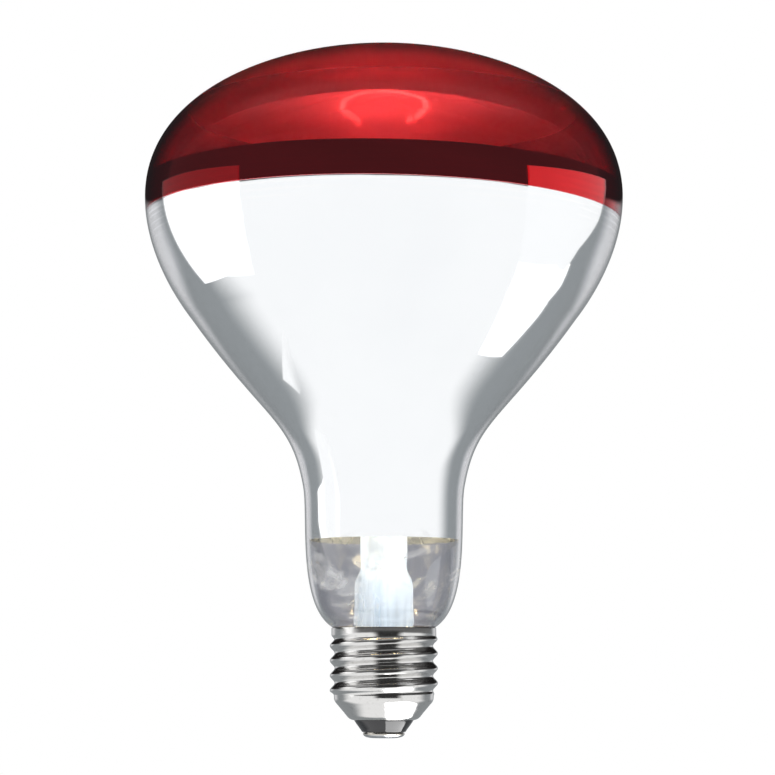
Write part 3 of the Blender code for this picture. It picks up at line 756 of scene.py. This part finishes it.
def make_cap(nickel, vitrite, brass, solder, putty):
    span = THREAD_TOP - THREAD_BOTTOM
    heights = [THREAD_TOP - span * i / CAP_ROWS for i in range(CAP_ROWS + 1)]
    rim = arc((RIM_RADIUS - CAP_SHEET / 2, RIM_HEIGHT - CAP_SHEET / 2), CAP_SHEET / 2, 90.0, 0.0, 4)
    skirt = [(RIM_RADIUS, RIM_HEIGHT - 0.6), (RIM_RADIUS, THREAD_TOP + 0.4)]
    cone = cubic((CONE_RADIUS, 9.8), (12.15, 9.0), (11.8, 8.6), (11.3, 8.05), 8)
    cone += cubic((11.3, 8.05), (10.5, 7.1), (9.7, 6.2), (9.1, 5.4), 6)
    cone += cubic((9.1, 5.4), (8.7, 4.85), (8.1, 4.45), (7.4, 4.35), 8) + [(7.4, 4.35)]
    outer = rim + skirt + [(RIM_RADIUS, height) for height in heights] + cone
    inner = [(7.35, 4.6)] + [(r - CONE_SHEET, z + CONE_SHEET) for r, z in reversed(cone[:-4])]
    inner += [(RIM_RADIUS - CAP_SHEET, height) for height in reversed(heights)]
    inner += [(RIM_RADIUS - CAP_SHEET, RIM_HEIGHT - CAP_SHEET / 2)]
    shape = lathe(outer + inner, ROUND)
    for vertex in shape.verts:
        x, y, height = vertex.co / MM
        radius = math.hypot(x, y)
        if THREAD_BOTTOM - 0.01 <= height <= THREAD_TOP + 0.01:
            wanted = thread_radius(math.atan2(y, x), height)
            if radius < RIM_RADIUS - CAP_SHEET / 2:
                wanted -= CAP_SHEET
            vertex.co.x *= wanted / radius
            vertex.co.y *= wanted / radius
    finish_piece("cap_screw_shell", shape, nickel, ["cap_shell"], 60.0)

    glass = [(1.6, 7.9), (8.0, 7.9), (9.9, 7.7), (8.5, 5.75), (7.9, 5.2), (7.2, 4.8)]
    glass += cubic((7.25, 4.3), (6.9, 3.7), (6.4, 3.0), (5.7, 2.1), 10)
    glass += cubic((5.7, 2.1), (5.5, 1.8), (5.4, 1.5), (5.1, 1.4), 5) + [(1.1, 1.4), (1.1, 6.8)]
    finish_piece("cap_black_glass", lathe(glass, 96), vitrite, ["cap_insulator"])

    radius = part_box("centre_contact")[1].x / MM
    plate = [(0.9, 1.38), (radius - 0.1, 1.38)]
    plate += arc((radius - 0.3, 1.0), 0.3, 10.0, -80.0, 6) + [(0.9, 0.68)]
    finish_piece("contact_plate", lathe(plate, 96), brass, ["centre_contact"])
    bead = [(0.0, 1.9), (0.5, 1.7), (0.8, 0.75), (4.85, 0.78)]
    bead += cubic((4.95, 0.72), (4.8, 0.3), (3.7, 0.02), (2.6, 0.0), 10) + [(2.6, 0.0), (0.0, 0.0)]
    finish_piece("contact_solder", lathe(bead, 96, False), solder, ["centre_solder"])

    ring = [(12.5, 26.3), (12.5, 25.1), (11.2, 23.8), (10.8, 24.1)]
    ring += [(10.8, 24.9), (11.5, 25.8), (12.0, 26.4)]
    finish_piece("cement_ring", lathe(ring, 96), putty, ["capping_cement"])
    shape = bmesh.new()
    bmesh.ops.create_uvsphere(shape, u_segments=24, v_segments=16, radius=SOLDER_BEAD * MM)
    for vertex in shape.verts:
        x, y, z = vertex.co
        swell = 1.0 + 0.15 * math.sin(5 * math.atan2(y, x))
        vertex.co = Vector((x * swell, y * swell, z * 1.1)) + SIDE_SOLDER * MM
    finish_piece("side_solder_bead", shape, solder, ["side_solder"])


# ================================================================== studio


def glowing(name, strength, reach=None, fade=None):
    """A light that is seen only in reflections, and only from within its reach if it has one. It may fade
    out between two pairs of bearings, in radians."""
    material = bpy.data.materials.new(name)
    material.use_nodes = True
    n = Nodes(material.node_tree)
    material.node_tree.nodes.clear()
    emission = n.add("ShaderNodeEmission")
    clear = n.add("ShaderNodeBsdfTransparent")
    choice = n.add("ShaderNodeMixShader")
    path = n.add("ShaderNodeLightPath")
    seen = n.math("GREATER_THAN", path.outputs["Glossy Depth"], 0.5)
    if reach:
        near = n.smooth(path.outputs["Ray Length"], reach * MM, 0.85 * reach * MM)
        seen = n.math("MULTIPLY", seen, near)
    if fade:
        place = n.add("ShaderNodeSeparateXYZ")
        n.link(n.add("ShaderNodeTexCoord").outputs["Object"], place.inputs[0])
        bearing = n.math("ARCTAN2", place.outputs["X"], n.math("MULTIPLY", place.outputs["Y"], -1.0))
        seen = n.math("MULTIPLY", seen, n.smooth(bearing, fade[0], fade[1]))
        seen = n.math("MULTIPLY", seen, n.smooth(bearing, fade[3], fade[2]))
    n.link(seen, choice.inputs[0])
    n.link(clear.outputs[0], choice.inputs[1])
    n.link(emission.outputs[0], choice.inputs[2])
    emission.inputs["Strength"].default_value = strength
    output = n.add("ShaderNodeOutputMaterial")
    n.link(choice.outputs[0], output.inputs["Surface"])
    return material


def stage_card(name, points, faces, strength, reach=None, fade=None):
    """A card in the studio, which neither the camera nor plain light sees. Its points are in millimetres."""
    mesh = bpy.data.meshes.new(name)
    mesh.from_pydata([Vector(point) * MM for point in points], [], faces)
    mesh.materials.append(glowing(name, strength, reach, fade))
    card = bpy.data.objects.new(name, mesh)
    bpy.context.scene.collection.objects.link(card)
    card.visible_camera = False
    card.visible_shadow = False
    card.visible_diffuse = False


def softbox(name, side, corners, strength, reach=None):
    """A softbox beside the lamp, on the left if side is -1 or the right if it is 1. Its corners are
    (across, outward, height)."""
    turn = math.radians(SOFTBOX_BEARING) * side
    outward = Vector((math.sin(turn), -math.cos(turn), 0.0))
    across = Vector((math.cos(turn), math.sin(turn), 0.0))
    points = [outward * s + across * u + Vector((0, 0, z)) for u, s, z in corners]
    stage_card(name, points, [list(range(len(points)))], strength, reach)


def flag(name, radius, start, end, low, high, strength, soft=0.0, reach=None):
    """A dark band round the lamp. Its lower edge is a function of the bearing in radians."""
    steps = 60
    points = []
    for i in range(steps + 1):
        bearing = math.radians(start + (end - start) * i / steps)
        x, y = radius * math.sin(bearing), -radius * math.cos(bearing)
        points += [(x, y, low(bearing)), (x, y, high)]
    faces = [(2 * i, 2 * i + 2, 2 * i + 3, 2 * i + 1) for i in range(steps)]
    fade = [math.radians(a) for a in (start, start + soft, end - soft, end)] if soft else None
    stage_card(name, points, faces, strength, reach, fade)


def make_world():
    """White to the camera. In reflections: white low in front, grey low behind, dim above the horizon."""
    world = bpy.data.worlds.new("studio")
    bpy.context.scene.world = world
    world.use_nodes = True
    n = Nodes(world.node_tree)
    world.node_tree.nodes.clear()
    way = n.add("ShaderNodeTexCoord").outputs["Generated"]
    split = n.add("ShaderNodeSeparateXYZ")
    n.link(way, split.inputs[0])
    x, y, z = split.outputs
    around = n.math("ARCTAN2", x, n.math("MULTIPLY", y, -1.0))
    bearing = n.math("MULTIPLY", n.math("ABSOLUTE", around), DEGREES)
    elevation = n.math("MULTIPLY", n.math("ARCSINE", z), DEGREES)
    wide = n.math("ADD", bearing, n.smooth(elevation, -28.0, -12.0, 0.0, 15.0))
    front = n.smooth(wide, 129.0, 98.0)
    rear = n.math("MULTIPLY", n.smooth(bearing, 130.0, 145.0), n.smooth(bearing, 166.0, 152.0))
    rear = n.math("MULTIPLY", rear, n.smooth(elevation, -14.0, -5.0))
    low = n.mix(front, (0.300, 0.318, 0.328), (1.02, 1.02, 1.02))
    low = n.mix(rear, low, (0.72, 0.72, 0.74))
    beside = n.math("MAXIMUM", n.math("SUBTRACT", bearing, 117.0), 0.0)
    brow = n.math("SUBTRACT", elevation, n.math("MULTIPLY", beside, 0.14))
    above = n.smooth(brow, 2.6, 3.8)
    dim = n.mix(n.smooth(bearing, 100.0, 140.0), (0.065, 0.062, 0.062), (0.015, 0.014, 0.014))
    overhead = n.math("MULTIPLY", n.smooth(elevation, 38.0, 55.0), n.smooth(bearing, 125.0, 95.0))
    dim = n.mix(overhead, dim, (0.50, 0.50, 0.50))
    reflected = n.mix(above, low, dim)
    aside = n.smooth(bearing, 158.0, 135.0)
    through = n.mix(aside, (0.22, 0.225, 0.26), (1.0, 1.0, 1.0))
    through = n.mix(above, through, n.mix(aside, (0.10, 0.09, 0.09), (0.80, 0.80, 0.82)))
    path = n.add("ShaderNodeLightPath")
    direct = n.math("LESS_THAN", path.outputs["Glossy Depth"], 0.5)
    colour = n.mix(n.math("MULTIPLY", path.outputs["Is Transmission Ray"], direct), reflected, through)
    colour = n.mix(n.math("GREATER_THAN", path.outputs["Diffuse Depth"], 0.5), colour, (0.95, 0.95, 0.95))
    colour = n.mix(path.outputs["Is Camera Ray"], colour, (1.0, 1.0, 1.0))
    background = n.add("ShaderNodeBackground")
    n.link(colour, background.inputs["Color"])
    output = n.add("ShaderNodeOutputWorld")
    n.link(background.outputs[0], output.inputs["Surface"])


def make_floor():
    """A pale floor, which glass and metal do not reflect: the world stands for it there."""
    mesh = bpy.data.meshes.new("floor")
    corners = ((-1, -1), (1, -1), (1, 1), (-1, 1))
    points = [(x * FLOOR_HALF * MM, y * FLOOR_HALF * MM, FLOOR_LEVEL * MM) for x, y in corners]
    mesh.from_pydata(points, [], [(0, 1, 2, 3)])
    material, n, shader = principled("floor_paper", (0.95, 0.95, 0.95), 0.9)
    shader.inputs["Emission Color"].default_value = (1.0, 1.0, 1.0, 1.0)
    shader.inputs["Emission Strength"].default_value = 0.35
    n.link(n.mix(n.noise(3.0, 2.0), (0.95, 0.95, 0.95), (0.93, 0.93, 0.93)), shader.inputs["Base Color"])
    mesh.materials.append(material)
    floor = bpy.data.objects.new("floor", mesh)
    bpy.context.scene.collection.objects.link(floor)
    floor.visible_glossy = False
    floor.visible_transmission = False


def make_studio():
    make_world()
    make_floor()
    split = [(-12, 140), (30, 136), (67, 132), (103, 129.8), (141, 127)]
    left = split + [(130, 70), (106, 25), (81, -2), (37, 36), (-7, 58)]
    softbox("left_softbox", -1, [(u, LEFT_OUT, z) for u, z in left], 1.3)
    left_top = [(-12, 154), (141, 155)] + split[::-1]
    softbox("left_softbox_top", -1, [(u, LEFT_OUT, z) for u, z in left_top], 0.33)
    stripe = [(20, 62), (21, 51), (39, 41), (48, 34), (66, 19), (100, -10), (100, 62)]
    softbox("left_stripe", -1, [(u, STRIPE_OUT, z) for u, z in stripe], 1.05, 48.0)
    right = [(-24, 140), (-93, 142), (-89, 108), (-80, 90), (-65, 68), (-64, 65)]
    right += [(-29, 95), (-30, 106), (-25, 122)]
    softbox("right_softbox", 1, [(u, RIGHT_OUT, z) for u, z in right], 1.05)
    right_low = [(-62, 63, 79), (-47, 52, 68), (-36, 43, 58), (-22, 52, 67), (-21, 64, 80)]
    right_low += [(-22, 73, 90), (-27, 80, 97)]
    softbox("right_softbox_low", 1, right_low, 1.3)

    def dome_brow(bearing):
        return 123.0 - 45.0 * math.cos(bearing) - 13.0 * math.sin(bearing)

    flag("dome_flag", 557.0, -119.0, 119.0, dome_brow, 420.0, 0.065)
    flag("cap_flag", 18.0, -19.0, 31.0, lambda a: 8.5, 26.0, 0.04, 13.0, 20.0)
    flag("skirt_flag", 18.5, -54.0, 100.0, lambda a: 25.2, 27.4, 0.16, 22.0, 20.0)
    low_light = [(x, y, LOW_SOFTBOX) for x, y in ((2.5, -22), (30, -22), (34, 14), (2.5, 14))]
    stage_card("low_softbox", low_light, [(0, 1, 2, 3)], 5.0, 42.0)


def make_camera():
    """The photograph's view: in front of the lamp, a little above its foot and looking up."""
    data = bpy.data.cameras.new("camera")
    data.lens = CAMERA_LENS
    data.sensor_width = 36.0
    camera = bpy.data.objects.new("camera", data)
    camera.location = (CAMERA_SIDE, -CAMERA_DISTANCE, CAMERA_HEIGHT)
    camera.rotation_euler = (math.pi / 2 + CAMERA_TILT, 0.0, 0.0)
    bpy.context.scene.collection.objects.link(camera)
    bpy.context.scene.camera = camera


def main():
    glass = stem_glass()
    nickel_wire = plain_metal("nickel_wire", (0.62, 0.60, 0.57), (0.50, 0.48, 0.45), 0.2, 0.4, 800.0)
    molybdenum = plain_metal("molybdenum_wire", (0.50, 0.50, 0.51), (0.38, 0.38, 0.39), 0.3, 0.5, 900.0)
    tinned = plain_metal("tinned_wire", (0.74, 0.74, 0.75), (0.60, 0.60, 0.61), 0.25, 0.45, 900.0)
    steel = plain_metal("shield_sheet", (0.66, 0.66, 0.67), (0.56, 0.56, 0.57), 0.18, 0.34, 300.0)
    brass = plain_metal("tinned_brass", (0.76, 0.74, 0.69), (0.62, 0.59, 0.53), 0.2, 0.38, 700.0)
    solder = plain_metal("tin_solder", (0.72, 0.73, 0.75), (0.58, 0.59, 0.61), 0.16, 0.34, 500.0)
    make_bulb()
    make_stem(glass)
    make_filament(hot_tungsten(3300.0), molybdenum, nickel_wire)
    make_outer_leads(tinned, glass)
    make_shield(steel)
    make_cap(nickel_plate(), black_glass(), brass, solder, cement())
    make_studio()
    make_camera()
    bpy.context.scene.view_settings.view_transform = "Standard"


main()
